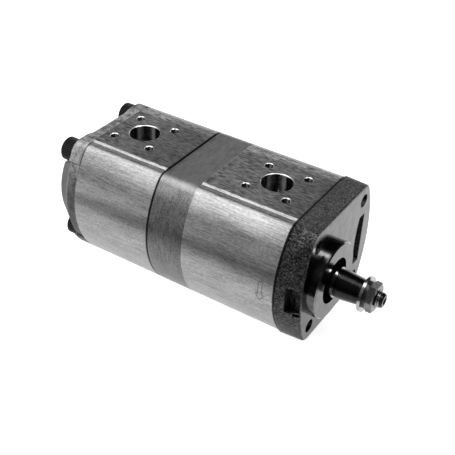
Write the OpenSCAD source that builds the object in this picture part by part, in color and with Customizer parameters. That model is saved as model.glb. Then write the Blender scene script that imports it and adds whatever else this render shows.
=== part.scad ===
// Tandem external gear pump.
// Frame: X runs along the drive shaft and points out of it, Z points to the inlet ports,
// Y points from the drive shaft to the driven gears.
// The origin is where the shaft axis crosses the mounting face.

/* [Clamp bolts] */
// Spacing of the four bolts both ways
bolt_pitch = 60; // [58:0.5:62]
// Thread diameter
bolt_d = 10; // [8:0.5:10]
// Diameter of the socket heads
bolt_head_d = 16; // [14:0.5:17]
// Height of the socket heads
bolt_head_h = 10; // [8:0.5:11]
// Width across flats of the socket
bolt_socket_af = 8; // [6:0.5:8]

/* [Body section] */
// Wall from the bolt centres to the port faces
port_wall = 11.5; // [10.5:0.5:14]
// Wall from the bolt centres to the middle of the curved sides
side_wall = 20; // [19:0.5:23]
// How far the corner centres lie inside the bolt lines
corner_in = 0.45; // [0:0.05:1.5]
// Radius of the four long edges
corner_r = 9; // [6:0.5:10]
// Height of the milled port pads above the raw body
pad_rise = 0.8; // [0.4:0.1:1.2]
// Ledge between a port pad and the rounded edge
pad_ledge = 2.2; // [1.5:0.1:4]
// Relief cut round the body at a joint
joint_relief = 0.5; // [0.3:0.1:0.8]

/* [Lengths along the shaft] */
// Thickness of the mounting flange
flange_t = 16.2; // [15.5:0.1:20]
// Length of the front housing
front_len = 66.6; // [62:0.2:76]
// Thickness of the centre plate
centre_t = 26.5; // [24:0.1:32]
// Length of the rear housing
rear_len = 59.4; // [57:0.2:68]

/* [Mounting flange] */
// How far the flange stands out of the body all round at its joint
flange_out = 0.8; // [0.2:0.1:1.5]
// Drop of the front edge of the flange from the port faces
face_drop = 0.6; // [0.3:0.1:3]
// Inset of the front edge of the flange from the curved sides
face_in = 4.4; // [2:0.1:6]
// Radius of the corners of the front edge
face_corner_r = 9; // [6:0.1:9.5]
// Rounding between the front edge and the machined face
face_edge = 1.5; // [0.5:0.1:2.5]
// Diameter of the spigot that centres the pump
pilot_d = 50; // [46:0.5:52]
// Length of the spigot
pilot_l = 7; // [6:0.5:10]
// Chamfer of turned edges
turned_edge = 0.8; // [0.4:0.1:1.2]
// Diameter of the mounting holes at the front face
mount_hole_d = 9; // [7:0.1:9.4]
// Depth of the free mounting holes
mount_hole_l = 7; // [5:0.5:8]
// How far behind them the clamp bolts end
bolt_short = 1; // [0.5:0.1:2]
// Depth of the cast pockets in the front face and the side
pocket_depth = 4; // [2:0.5:5]
// Height of the curved pocket in the front face
slot_h = 37; // [24:1:38]
// Width of the curved pocket in the front face
slot_w = 9.7; // [6:0.1:10]
// Radius of the curved side of that pocket
slot_r = 65; // [50:1:90]
// Wall between that pocket and the front edge of the flange
slot_wall = 11.4; // [9:0.1:14]
// Width of the deep part of the side pocket
side_pocket_w = 4.8; // [3:0.1:6]
// Height of the side pocket
side_pocket_h = 18.5; // [14:0.5:22]
// Lower end of the side pocket below the shaft axis
side_pocket_low = 11; // [8:0.5:14]
// Width of the shallow step beside the side pocket
side_step_w = 4.1; // [2:0.1:5]
// Height of the notch below the side pocket
side_notch = 2.6; // [1:0.1:4]
// Inset of the step from the ends of the side pocket
side_step_in = 1; // [0.5:0.1:2]
// Wall between the side pocket and the front face
side_lip = 0.6; // [0.4:0.1:1.2]

/* [Ports] */
// Diameter of the inlet ports
inlet_d = 20; // [14:0.5:21]
// Bolt circle of the inlet flanges
inlet_pcd = 40; // [38:0.5:42]
// Diameter of the outlet ports
outlet_d = 15; // [10:0.5:17]
// Bolt circle of the outlet flanges
outlet_pcd = 35; // [33:0.5:38]
// Depth of the port bores
port_l = 18; // [14:0.5:20]
// How much narrower than its port a passage to the gears is
feed_step = 2; // [1:0.25:3]
// Tap drill diameter of the port screws
port_screw_d = 5; // [4:0.1:5.2]
// Depth of the port screw holes
port_screw_l = 13; // [8:0.5:14]
// Broken edge of ports and screw holes
port_edge = 0.6; // [0.3:0.1:0.8]
// Front port centre behind the front joint
front_port_x = 29.9; // [28:0.1:34]
// Rear port centre behind the centre plate
rear_port_x = 38.4; // [34:0.1:39]
// Radius of the passage that feeds the gear mesh
gallery_r = 6; // [4:0.5:7]
// Height of that passage above or below the shaft axis
gallery_z = 10.5; // [9:0.5:12]

/* [Gears] */
// Teeth on every gear
teeth = 12; // [11:1:13]
// Module
gear_module = 2.6; // [2.45:0.05:2.75]
// Profile shift of every gear
shift = 0.335; // [0.3:0.005:0.45]
// Width of the front gears
front_gear_w = 28; // [20:0.5:30]
// Width of the rear gears
rear_gear_w = 20; // [16:0.5:24]

/* [Shaft] */
// Journal diameter of every shaft
shaft_d = 20; // [18:0.1:20.5]
// Large end of the taper
taper_d = 19; // [17.6:0.1:19.5]
// Taper as diameter over length
taper_rate = 0.2; // [0.1:0.01:0.25]
// Length of the taper
taper_l = 14.5; // [13.5:0.5:18]
// Length of the neck between journal and taper
neck_l = 3; // [2:0.5:4]
// Depth of the neck below the journal
neck_depth = 1.1; // [0.6:0.1:1.6]
// How far the journal stands out of the spigot
journal_out = 2.5; // [1:0.5:4]
// Thread diameter of the shaft end
thread_d = 10; // [9:0.5:11]
// Depth of the free end below the thread's outside
thread_drop = 0.4; // [0.2:0.1:0.8]
// Length of thread that stands out of the nut
thread_out = 4.6; // [3:0.2:8]
// Diameter of the centre hole in the shaft end
centre_hole_d = 2.5; // [2:0.1:3.2]
// Width of the key
key_w = 4; // [3:0.5:5]
// Diameter of the disc that the key is cut from
key_disc_d = 13; // [11:0.5:13.5]
// Depth of the key's seat at the middle of the taper
key_seat = 3.8; // [3:0.1:4.4]
// Height of the key above the middle of the taper
key_out = 1.3; // [0.8:0.1:1.8]
// Angle of the key round the shaft
key_angle = 320; // [0:5:355]

/* [Shaft end hardware] */
// Diameter of the plain washer
washer_d = 22.6; // [20:0.2:25]
// Thickness of the plain washer
washer_t = 1.8; // [1.2:0.1:2.5]
// Diameter of the spring washer
spring_washer_d = 17; // [15.5:0.1:18.5]
// Thickness of the spring washer
spring_washer_t = 1.8; // [1.4:0.1:2.6]
// Width of the slit in the spring washer
spring_slit = 1; // [0.6:0.1:2]
// Width of the nut across flats
nut_af = 17; // [16:0.5:18]
// Height of the nut
nut_h = 4.6; // [4:0.1:7]
// Angle of that slit round the shaft
slit_angle = 20; // [0:5:355]
// Angle of the nut round the shaft
nut_angle = 50; // [0:5:60]
// Chamfer of the nut's corners
nut_edge = 0.7; // [0.4:0.1:1]

/* [Bearings and seals] */
// Wall of the bearing bushes
bush_wall = 1.5; // [1:0.1:1.8]
// Wall between the gear chambers and the ring seals
ring_wall = 1.6; // [1.2:0.1:2]
// Width of the ring seals between the sections
ring_w = 2; // [1.6:0.1:2.4]
// Depth of the ring seal grooves
ring_depth = 1.6; // [1.2:0.1:2]
// Rim of a bearing block outside its pressure seal
block_rim = 1.8; // [1.4:0.1:2.2]
// Width of the pressure seals in the bearing blocks
block_seal_w = 1.8; // [1.4:0.1:2]
// Depth of the pressure seal grooves
block_seal_depth = 1.7; // [1.2:0.1:2.2]
// How far the pressure seals reach up past the shafts
block_seal_end = 3; // [1:0.5:5]
// Length of the relief slots in the bearing blocks
relief_l = 5; // [4:0.5:7]
// Width and distance from the middle of the relief slots
relief_w = 3; // [2:0.5:4]
// Depth of the relief slots
relief_depth = 1.2; // [0.8:0.1:2]
// Outer diameter of the shaft seal
seal_d = 30; // [28:0.5:33]
// Width of the shaft seal
seal_w = 7; // [5.5:0.5:7]
// Wall of the shaft seal's metal case
seal_case = 1.2; // [0.8:0.1:1.6]
// Depth of the seal recess below the end of the spigot
recess_l = 15; // [13.5:0.5:16]
// Thickness of the retaining ring
ring_t = 1.2; // [1:0.1:1.5]
// Width of the retaining ring's band
ring_band = 2.5; // [2:0.1:3]
// Depth of the retaining ring's groove
ring_groove_depth = 1; // [0.8:0.1:1.5]
// Radius of the retaining ring's two eyes
ring_eye_r = 1.9; // [1.6:0.1:2.2]
// Diameter of the holes in the eyes
ring_hole_d = 1.6; // [1.2:0.1:2]
// Angle of each eye from the gap
ring_eye_angle = 14; // [12:0.5:18]
// Gap between the ends of the retaining ring
ring_gap = 3.2; // [2:0.1:4]
// Diameter of the dowel pins
dowel_d = 5; // [4:0.5:5.5]
// Length of the dowel pins
dowel_l = 11; // [8:0.5:12]
// Diameter of the coupling sleeve
sleeve_d = 23.4; // [22:0.1:24]
// Width of the driving tangs
tang_w = 8; // [6:0.5:10]
// Length of the driving tangs
tang_l = 8; // [6:0.5:9]

/* [Rear cover] */
// Thickness of the rear cover at its corners
cover_t = 9.3; // [8:0.1:14]
// Rise of the machined pads under the bolt heads
bolt_pad_rise = 1; // [0.5:0.1:2]
// Land round a bolt head on its pad
bolt_land = 1; // [0.6:0.1:1.1]
// Rise of the middle boss above the corners
boss_rise = 12; // [6:0.5:13]
// Height of the middle boss at its foot
boss_foot_h = 57; // [50:0.5:60]
// Inset of that foot from the curved sides
boss_in = 1; // [0.5:0.1:2]
// Straight part of the middle boss below the corners
boss_straight = 2.3; // [1:0.1:4]
// Diameter of the middle boss at its top
boss_top_d = 80; // [70:1:88]
// Height of the middle boss at its top
boss_top_h = 42; // [36:0.5:43]
// Rounding of the cast edge round its top
cast_edge = 1.6; // [0.6:0.1:2.4]
// Groove between the middle boss and the corners
boss_groove = 1; // [0.8:0.1:2]
// Start of those grooves from the middle of the pump
boss_groove_y = 36; // [32:0.5:40]
// Drop of the long edges between the corners
edge_drop = 1.4; // [0.6:0.1:2.4]

/* [Clearances] */
// Radial clearance of a journal in its bush
run_gap = 0.05; // [0.03:0.01:0.08]
// Radial clearance of the gear tips in the housing
tip_gap = 0.12; // [0.08:0.01:0.2]
// Clearance beside a gear
side_gap = 0.1; // [0.06:0.01:0.2]
// Gap behind a bearing block, bridged by its seal
back_gap = 0.3; // [0.2:0.05:0.6]
// Thinning of each tooth flank for backlash
flank_gap = 0.06; // [0.04:0.01:0.1]
// Clearance of a clamp bolt in its hole
bolt_gap = 0.5; // [0.2:0.1:0.7]
// Clearance between the coupling sleeve and its bore
sleeve_gap = 0.6; // [0.3:0.1:0.8]
// Clearance at each end of the coupling sleeve
end_gap = 0.4; // [0.2:0.1:0.8]
// Clearance round a bolt head beside the middle boss
head_gap = 1.2; // [1.1:0.1:2]
// Side clearance of a tang, a key or a block in its seat
fit_gap = 0.1; // [0.05:0.01:0.15]

/* [Hidden] */
$fn = 96;

// A margin that cutters run past a face, and the thickness of a slice in a hull
over = 1;
slice = 0.05;

// Joint planes along X
x_front = -flange_t;
x_mid_front = x_front - front_len;
x_mid_rear = x_mid_front - centre_t;
x_back = x_mid_rear - rear_len;
x_cover = x_back - cover_t;

// Gear geometry: equal gears with equal profile shift
pressure = 20;
function involute(a) = tan(a) - a * PI / 180;
function working_angle(a, n) =
    n == 0 ? a
    : working_angle(a - (involute(a) - inv_working) / pow(tan(a), 2) * 180 / PI, n - 1);
inv_working = involute(pressure) + 2 * shift * tan(pressure) / teeth;
angle_guess = 25;
working = working_angle(angle_guess, 12);
pitch_r = gear_module * teeth / 2;
base_r = pitch_r * cos(pressure);
centre_distance = 2 * base_r / cos(working);
root_r = pitch_r - gear_module * (1.25 - shift);
tip_r = centre_distance - root_r - gear_module / 4;
tooth_half = gear_module * (PI / 2 + 2 * shift * tan(pressure)) / (2 * pitch_r)
    + involute(pressure) - flank_gap / pitch_r;

// Outline of the body, tied to the bolts
body_h = bolt_pitch + 2 * port_wall;
body_w = bolt_pitch + 2 * side_wall;
raw_h = body_h - 2 * pad_rise;
corner_y = bolt_pitch / 2 - corner_in;
pad_w = 2 * (corner_y - pad_ledge);
bolt_head_r = bolt_head_d / 2;

// Places across the section
y_mid = centre_distance / 2;
shaft_r = shaft_d / 2;
bush_r = shaft_r + run_gap + bush_wall;
chamber_r = tip_r + tip_gap;
ring_in_r = chamber_r + ring_wall;
ring_out_r = ring_in_r + ring_w;
dowel_y = y_mid - (ring_out_r + y_mid + body_w / 2) / 2;
hole_r = bolt_d / 2 + bolt_gap;

// Gears and blocks along X
front_gear_x = x_front - (front_len + front_gear_w) / 2;
rear_gear_x = x_mid_rear - (rear_len + rear_gear_w) / 2;
front_block_l = (front_len - front_gear_w) / 2 - side_gap - back_gap;
rear_block_l = (rear_len - rear_gear_w) / 2 - side_gap - back_gap;
front_port = x_front - front_port_x;
rear_port = x_mid_rear - rear_port_x;

// Shaft end along X
x_journal = pilot_l + journal_out;
x_taper = x_journal + neck_l;
x_washer = x_taper + taper_l;
x_spring = x_washer + washer_t;
x_nut = x_spring + spring_washer_t;
x_thread = x_nut + nut_h;
x_tip = x_thread + thread_out;
taper_end_r = (taper_d - taper_rate * taper_l) / 2;
thread_root_r = thread_d / 2 - thread_drop;
x_recess = pilot_l - recess_l;
x_ring = x_recess + seal_w;

// Stands the children's Z axis along X, with their X on Y and their Y on Z
module along_x(x) {
    translate([x, 0, 0]) rotate([90, 0, 90]) children();
}

// Round bar along X from x1 to x2 about the line through y and z
module bar(x1, x2, r, y = 0, z = 0) {
    along_x(x1) translate([y, z, 0]) cylinder(r = r, h = x2 - x1);
}

// Cone along X
module cone(x1, x2, r1, r2, y = 0, z = 0) {
    along_x(x1) translate([y, z, 0]) cylinder(r1 = r1, r2 = r2, h = x2 - x1);
}

// The four clamp bolt places
module at_bolts() {
    for (y = [-1, 1], z = [-1, 1])
        translate([0, y_mid + y * bolt_pitch / 2, z * bolt_pitch / 2]) children();
}

// The two dowel places
module at_dowels() {
    for (side = [-1, 1])
        translate([0, y_mid + side * (y_mid - dowel_y), 0]) children();
}

// Outline with flat top and bottom, curved sides and rounded corners, in the YZ plane
module section(h, w, r_corner) {
    corner_z = h / 2 - r_corner;
    bulge = w / 2 - r_corner - corner_y;
    side_r = r_corner + (pow(corner_z, 2) + pow(bulge, 2)) / (2 * bulge);
    arc_y = side_r - w / 2;
    side_z = corner_z * side_r / (side_r - r_corner);
    translate([y_mid, 0]) {
        intersection() {
            translate([-arc_y, 0]) circle(r = side_r, $fn = 180);
            translate([arc_y, 0]) circle(r = side_r, $fn = 180);
            square([w, 2 * side_z], center = true);
        }
        square([2 * corner_y, h], center = true);
        for (y = [-1, 1], z = [-1, 1])
            translate([y * corner_y, z * corner_z]) circle(r = r_corner, $fn = 64);
    }
}

// Outline of the raw body, trimmed all round
module body_section(trim = 0) {
    section(raw_h - 2 * trim, body_w - 2 * trim, corner_r - trim);
}

// Outline of the flange's front edge, trimmed all round
module face_section(trim) {
    section(body_h - 2 * (face_drop + trim), body_w - 2 * (face_in + trim), face_corner_r - trim);
}

// Figure eight round the two gear axes
module figure_eight(r) {
    circle(r = r);
    translate([centre_distance, 0]) circle(r = r);
}

// Racetrack round the two gear axes
module racetrack(r) {
    figure_eight(r);
    translate([0, -r]) square([centre_distance, 2 * r]);
}

module ring_outline(gap = 0) {
    difference() {
        racetrack(ring_out_r + gap);
        racetrack(ring_in_r - gap);
    }
}

// Body section with its bolt holes, dowel holes and port pads
module housing(x1, x2, port_x) {
    difference() {
        union() {
            along_x(x1) linear_extrude(x2 - x1) body_section();
            for (side = [-1, 1]) port_pad(x1, x2, side);
        }
        along_x(x1 - over) linear_extrude(x2 - x1 + 2 * over) figure_eight(chamber_r);
        at_bolts() bar(x1 - over, x2 + over, hole_r);
        at_dowels() {
            bar(x1 - over, x1 + dowel_l / 2, dowel_d / 2);
            bar(x2 - dowel_l / 2, x2 + over, dowel_d / 2);
        }
        port(port_x, 1, inlet_d, inlet_pcd);
        port(port_x, -1, outlet_d, outlet_pcd);
    }
}

// Milled pad with sloping edges on one port face
module port_pad(x1, x2, side) {
    base = raw_h / 2 - over;
    along_x(x1) linear_extrude(x2 - x1) polygon([
        [y_mid - pad_w / 2 - pad_rise, side * base],
        [y_mid - pad_w / 2 - pad_rise, side * raw_h / 2],
        [y_mid - pad_w / 2, side * body_h / 2],
        [y_mid + pad_w / 2, side * body_h / 2],
        [y_mid + pad_w / 2 + pad_rise, side * raw_h / 2],
        [y_mid + pad_w / 2 + pad_rise, side * base]
    ]);
}

// Port bore, the passage from its floor to the gears and its four screw holes
module port(x, side, d, pcd) {
    screw_step = pcd / 2 * sin(45);
    translate([x, y_mid, 0]) mirror([0, 0, side < 0 ? 1 : 0]) {
        face_hole(d, port_l);
        cylinder(r = d / 2 - feed_step, h = body_h / 2);
        for (u = [-1, 1], v = [-1, 1])
            translate([u * screw_step, v * screw_step, 0]) face_hole(port_screw_d, port_screw_l);
    }
}

// Hole with a broken edge, drilled down from the port face
module face_hole(d, depth) {
    translate([0, 0, body_h / 2 - depth]) cylinder(r = d / 2, h = depth + over);
    translate([0, 0, body_h / 2 - port_edge])
        cylinder(r1 = d / 2, r2 = d / 2 + 2 * port_edge, h = 2 * port_edge);
}

// Passages above and below the gear mesh
module galleries(x1, x2) {
    for (side = [-1, 1]) bar(x1, x2, gallery_r, y_mid, side * gallery_z);
}

// Groove for a ring seal, cut from the joint plane x towards the given side
module ring_groove(x, side) {
    depth = ring_depth;
    along_x(side > 0 ? x - over : x - depth) linear_extrude(depth + over) ring_outline(fit_gap);
}

// Relief round the outside of a joint, cut from plane x towards the given side
module joint_groove(x, side) {
    along_x(side > 0 ? x - over : x - joint_relief) linear_extrude(joint_relief + over) difference() {
        body_section(-flange_out - over);
        body_section(joint_relief);
    }
}

module front_cover() {
    color([0.24, 0.24, 0.25]) difference() {
        union() {
            hull() {
                along_x(x_front) linear_extrude(joint_relief) body_section(-flange_out);
                for (a = [0 : 30 : 90])
                    along_x(face_edge * (sin(a) - 1) - slice) linear_extrude(slice)
                        face_section(face_edge * (1 - cos(a)));
            }
            bar(-over, pilot_l - turned_edge, pilot_d / 2);
            cone(pilot_l - turned_edge, pilot_l, pilot_d / 2, pilot_d / 2 - turned_edge);
        }
        joint_groove(x_front, 1);
        // Seal recess, its ring groove and the shaft hole
        bar(x_recess, pilot_l + over, seal_d / 2);
        bar(x_ring, x_ring + ring_t, seal_d / 2 + ring_groove_depth);
        bar(x_front - over, x_recess + over, shaft_r + sleeve_gap);
        // Clamp bolt threads from the rear and free holes at the front
        at_bolts() {
            bar(x_front - over, -mount_hole_l, bolt_d / 2);
            bar(-mount_hole_l - over, over, mount_hole_d / 2);
        }
        at_dowels() bar(x_front - over, x_front + dowel_l / 2, dowel_d / 2);
        ring_groove(x_front, 1);
        face_slot();
        side_pocket();
    }
}

// Cast pocket in the front face, curved towards the shaft and straight outside
module face_slot() {
    slot_y = y_mid + body_w / 2 - face_in - slot_wall;
    along_x(-pocket_depth) linear_extrude(pocket_depth + over) intersection() {
        translate([slot_y - slot_w + slot_r, 0]) circle(r = slot_r);
        translate([slot_y - slot_w - over, -slot_h / 2]) square([slot_w + over, slot_h]);
    }
}

// Cast pocket in the side of the flange, with a shallow step in front and a notch below
module side_pocket() {
    side_y = y_mid - body_w / 2;
    deep = face_in + side_lip + pocket_depth;
    shallow = face_in + side_lip + pocket_depth / 2;
    x_step = -side_lip - side_step_w;
    translate([x_step - side_pocket_w, side_y - over, -side_pocket_low])
        cube([side_pocket_w + slice, deep + over, side_pocket_h]);
    translate([x_step, side_y - over, -side_pocket_low + side_step_in])
        cube([side_step_w, shallow + over, side_pocket_h - 2 * side_step_in]);
    translate([x_step, side_y - over, -side_pocket_low - side_notch])
        cube([side_step_w, shallow + over, side_notch]);
}

module front_housing() {
    color([0.72, 0.72, 0.73]) difference() {
        housing(x_mid_front, x_front, front_port);
        galleries(front_gear_x, front_gear_x + front_gear_w);
    }
}

module rear_housing() {
    color([0.7, 0.7, 0.71]) difference() {
        housing(x_back, x_mid_rear, rear_port);
        galleries(rear_gear_x, rear_gear_x + rear_gear_w);
    }
}

module centre_plate() {
    color([0.5, 0.5, 0.51]) difference() {
        along_x(x_mid_rear) linear_extrude(centre_t) body_section();
        bar(x_mid_rear - over, x_mid_front + over, sleeve_d / 2 + sleeve_gap);
        at_bolts() bar(x_mid_rear - over, x_mid_front + over, hole_r);
        at_dowels() {
            bar(x_mid_rear - over, x_mid_rear + dowel_l / 2, dowel_d / 2);
            bar(x_mid_front - dowel_l / 2, x_mid_front + over, dowel_d / 2);
        }
        joint_groove(x_mid_rear, 1);
        ring_groove(x_mid_rear, 1);
        ring_groove(x_mid_front, -1);
    }
}

module rear_cover() {
    seat = x_cover - bolt_pad_rise;
    color([0.42, 0.42, 0.43]) difference() {
        union() {
            along_x(x_cover) linear_extrude(cover_t) difference() {
                body_section();
                for (side = [-1, 1]) {
                    edge_hollow(side);
                    side_window(side);
                }
            }
            middle_boss();
            at_bolts() bar(seat, x_cover + over, bolt_head_r + bolt_land);
        }
        joint_groove(x_back, -1);
        at_bolts() {
            bar(seat - over, x_back + over, hole_r);
            bar(x_cover - boss_rise - over, seat, bolt_head_r + head_gap);
        }
        at_dowels() bar(x_back - dowel_l / 2, x_back + over, dowel_d / 2);
        ring_groove(x_back, -1);
    }
}

// Raised middle of the rear cover, drawn in towards its rounded top
module middle_boss() {
    top = x_cover - boss_rise;
    hull() {
        along_x(x_cover + boss_straight) linear_extrude(cover_t - boss_straight) intersection() {
            body_section(boss_in);
            translate([y_mid, 0]) square([body_w, boss_foot_h], center = true);
        }
        for (a = [0 : 30 : 90])
            along_x(top + cast_edge * (1 - sin(a))) linear_extrude(slice)
                boss_top(2 * cast_edge * (1 - cos(a)));
    }
}

// Top outline of that boss, smaller all round by half the trim
module boss_top(trim) {
    translate([y_mid, 0]) intersection() {
        circle(d = boss_top_d - trim);
        square([boss_top_d, boss_top_h - trim], center = true);
    }
}

// Opening in the rear cover's side that leaves a groove beside the middle boss
module side_window(side) {
    translate([y_mid + side * (boss_groove_y + body_w / 2), 0])
        square([body_w, boss_foot_h + 2 * boss_groove], center = true);
}

// Shallow hollow with sloping ends along one long edge of the rear cover
module edge_hollow(side) {
    wide = bolt_pitch / 2 - bolt_head_r;
    slope = 4 * edge_drop;
    top = raw_h / 2;
    translate([y_mid, 0]) polygon([
        [-wide, side * (top + over)],
        [-wide, side * top],
        [-wide + slope, side * (top - edge_drop)],
        [wide - slope, side * (top - edge_drop)],
        [wide, side * top],
        [wide, side * (top + over)]
    ]);
}

// Socket head cap screws, all four alike
module clamp_bolts() {
    seat = x_cover - bolt_pad_rise;
    head = seat - bolt_head_h;
    color([0.08, 0.08, 0.09]) at_bolts() difference() {
        union() {
            bar(seat, -mount_hole_l - bolt_short, bolt_d / 2);
            bar(head + turned_edge, seat, bolt_head_r);
            cone(head, head + turned_edge, bolt_head_r - turned_edge, bolt_head_r);
        }
        along_x(head - over)
            cylinder(d = bolt_socket_af / cos(30), h = bolt_head_h / 2 + over, $fn = 6);
    }
}

module dowel_pins() {
    color([0.6, 0.6, 0.62]) for (x = [x_front, x_mid_front, x_mid_rear, x_back])
        at_dowels() bar(x - dowel_l / 2, x + dowel_l / 2, dowel_d / 2);
}

// Points of one flank, from the base circle to the tip, as radius and half angle
flank_steps = 7;
root_spread = 1.25;
function flank_radius(i) = base_r + (tip_r - base_r) * i / flank_steps;
function flank_angle(r) = (tooth_half - involute(acos(base_r / r))) * 180 / PI;
function polar(r, a) = [r * cos(a), r * sin(a)];
function tooth_points(a) = concat(
    [polar(root_r, a - root_spread * flank_angle(base_r))],
    [for (i = [0 : flank_steps]) polar(flank_radius(i), a - flank_angle(flank_radius(i)))],
    [for (i = [flank_steps : -1 : 0]) polar(flank_radius(i), a + flank_angle(flank_radius(i)))],
    [polar(root_r, a + root_spread * flank_angle(base_r))]
);

// Toothed outline; phase turns it by parts of a tooth
module gear_outline(phase) {
    polygon([for (t = [0 : teeth - 1]) each tooth_points((t + phase) * 360 / teeth)]);
}

// Gear with its two journals
module geared_shaft(x, w, y, phase, x1, x2) {
    along_x(x) translate([y, 0, 0]) linear_extrude(w) gear_outline(phase);
    bar(x1, x2, shaft_r, y);
}

// The drive gears point a tooth along +Y, the driven gears a gap along -Y
drive_phase = 0;
driven_phase = teeth % 2 == 0 ? 0.5 : 0;

// Flat driving tang on a shaft end
module tang(x1, x2, turn) {
    intersection() {
        bar(x1, x2, shaft_r - turned_edge);
        rotate([turn, 0, 0]) translate([x1, -shaft_r, -tang_w / 2])
            cube([x2 - x1, 2 * shaft_r, tang_w]);
    }
}

// Disc that the key and its seat are cut from
key_x = x_taper + taper_l / 2;
key_mid_r = (taper_d + 2 * taper_end_r) / 4;
key_disc_z = key_mid_r - key_seat + key_disc_d / 2;
module key_disc(gap) {
    rotate([key_angle - 90, 0, 0]) translate([key_x, 0, key_disc_z]) rotate([90, 0, 0])
        cylinder(d = key_disc_d + 2 * gap, h = key_w + 2 * gap, center = true);
}

module drive_shaft() {
    color([0.1, 0.1, 0.11]) difference() {
        union() {
            geared_shaft(front_gear_x, front_gear_w, 0, drive_phase, x_mid_front, x_journal);
            tang(x_mid_front - tang_l, x_mid_front + over, 0);
            bar(x_journal - over, x_taper + over, shaft_r - neck_depth);
            cone(x_taper, x_washer, taper_d / 2, taper_end_r);
            bar(x_washer - over, x_thread, thread_d / 2);
            bar(x_thread - over, x_tip - turned_edge, thread_root_r);
            cone(x_tip - turned_edge, x_tip, thread_root_r, thread_root_r - turned_edge);
        }
        // Centre hole in the shaft end
        bar(x_tip - 2 * centre_hole_d, x_tip + over, centre_hole_d / 2);
        cone(x_tip - centre_hole_d / 2, x_tip + over, centre_hole_d / 2, centre_hole_d + over);
        key_disc(fit_gap / 2);
    }
}

module front_driven_gear() {
    color([0.45, 0.45, 0.47]) geared_shaft(front_gear_x, front_gear_w, centre_distance, driven_phase,
        x_mid_front + over, x_front - over);
}

module rear_drive_gear() {
    color([0.45, 0.45, 0.47]) {
        geared_shaft(rear_gear_x, rear_gear_w, 0, drive_phase, x_back + over, x_mid_rear);
        tang(x_mid_rear - over, x_mid_rear + tang_l, 90);
    }
}

module rear_driven_gear() {
    color([0.45, 0.45, 0.47]) geared_shaft(rear_gear_x, rear_gear_w, centre_distance, driven_phase,
        x_back + over, x_mid_rear - over);
}

// Sleeve with a slot for each tang, the two slots square to each other
module shaft_coupling() {
    x1 = x_mid_rear + end_gap;
    x2 = x_mid_front - end_gap;
    slot = tang_w + 2 * fit_gap;
    color([0.35, 0.35, 0.37]) difference() {
        bar(x1, x2, sleeve_d / 2);
        translate([x2 - tang_l, -sleeve_d, -slot / 2]) cube([tang_l + over, 2 * sleeve_d, slot]);
        translate([x1 - over, -slot / 2, -sleeve_d]) cube([tang_l + over, slot, 2 * sleeve_d]);
    }
}

// Bearing block; back is the X of its sealed face and dir points from there to the gears
module bearing_block(back, dir, l) {
    x1 = dir > 0 ? back : back - l;
    face = dir > 0 ? back + l : back - l;
    color([0.78, 0.77, 0.72]) difference() {
        along_x(x1) linear_extrude(l) figure_eight(chamber_r - fit_gap);
        for (y = [0, centre_distance]) bar(x1 - over, x1 + l + over, bush_r, y);
        along_x(dir > 0 ? back - over : back - block_seal_depth)
            linear_extrude(block_seal_depth + over) seal_outline(fit_gap / 2);
        // Relief slots beside the gear mesh
        for (z = [relief_w, -2 * relief_w])
            translate([face - relief_depth, y_mid - relief_l / 2, z])
                cube([2 * relief_depth, relief_l, relief_w]);
    }
}

// Three-shaped pressure seal on the outlet side
seal_out_r = chamber_r - fit_gap - block_rim;
module seal_outline(gap) {
    intersection() {
        difference() {
            figure_eight(seal_out_r + gap);
            figure_eight(seal_out_r - block_seal_w - gap);
        }
        translate([-2 * tip_r, -2 * tip_r])
            square([centre_distance + 4 * tip_r, 2 * tip_r + block_seal_end + gap]);
    }
}

module pressure_seal(back, dir) {
    t = block_seal_depth + back_gap;
    color([0.12, 0.12, 0.12])
        along_x(dir > 0 ? back - back_gap : back + back_gap - t) linear_extrude(t) seal_outline(0);
}

module bush(back, dir, l, y) {
    x1 = dir > 0 ? back : back - l;
    color([0.62, 0.45, 0.28]) difference() {
        bar(x1, x1 + l, bush_r, y);
        bar(x1 - over, x1 + l + over, shaft_r + run_gap, y);
    }
}

module joint_seal(x, side) {
    color([0.1, 0.1, 0.1]) along_x(side > 0 ? x : x - ring_depth)
        linear_extrude(ring_depth) ring_outline();
}

// Metal-cased shaft seal with a lip that points inwards
module shaft_seal() {
    lip_r = shaft_r + run_gap;
    outer = seal_d / 2;
    web = seal_w - 2 * seal_case;
    color([0.13, 0.13, 0.13]) along_x(x_recess) rotate_extrude() polygon([
        [outer, 0], [outer, seal_w], [lip_r + seal_case, seal_w], [lip_r, seal_w - seal_case],
        [lip_r + seal_case / 2, web], [lip_r, 2 * seal_case], [lip_r + seal_case, seal_case],
        [lip_r + 2 * seal_case, seal_case], [lip_r + 2 * seal_case, web],
        [outer - seal_case, web], [outer - seal_case, 0]
    ]);
}

// Open retaining ring with two eyes
module retaining_ring() {
    outer = seal_d / 2 + ring_groove_depth - fit_gap;
    inner = outer - ring_band;
    color([0.2, 0.2, 0.2]) along_x(x_ring) linear_extrude(ring_t) difference() {
        union() {
            difference() {
                circle(r = outer);
                circle(r = inner);
            }
            at_eyes(inner) circle(r = ring_eye_r);
        }
        translate([-ring_gap / 2, -outer - over]) square([ring_gap, ring_band + 2 * ring_eye_r + over]);
        at_eyes(inner) circle(d = ring_hole_d, $fn = 24);
    }
}

// The places of the two eyes
module at_eyes(inner) {
    for (side = [-1, 1])
        rotate(side * ring_eye_angle) translate([0, ring_eye_r / 3 - inner]) children();
}

module woodruff_key() {
    color([0.3, 0.3, 0.31]) intersection() {
        key_disc(0);
        rotate([key_angle - 90, 0, 0]) translate([x_taper - over, -key_w, 0])
            cube([taper_l + 2 * over, 2 * key_w, key_mid_r + key_out]);
    }
}

module plain_washer() {
    color([0.75, 0.75, 0.76]) difference() {
        bar(x_washer, x_spring, washer_d / 2);
        bar(x_washer - over, x_spring + over, thread_d / 2 + bolt_gap / 2);
    }
}

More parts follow.
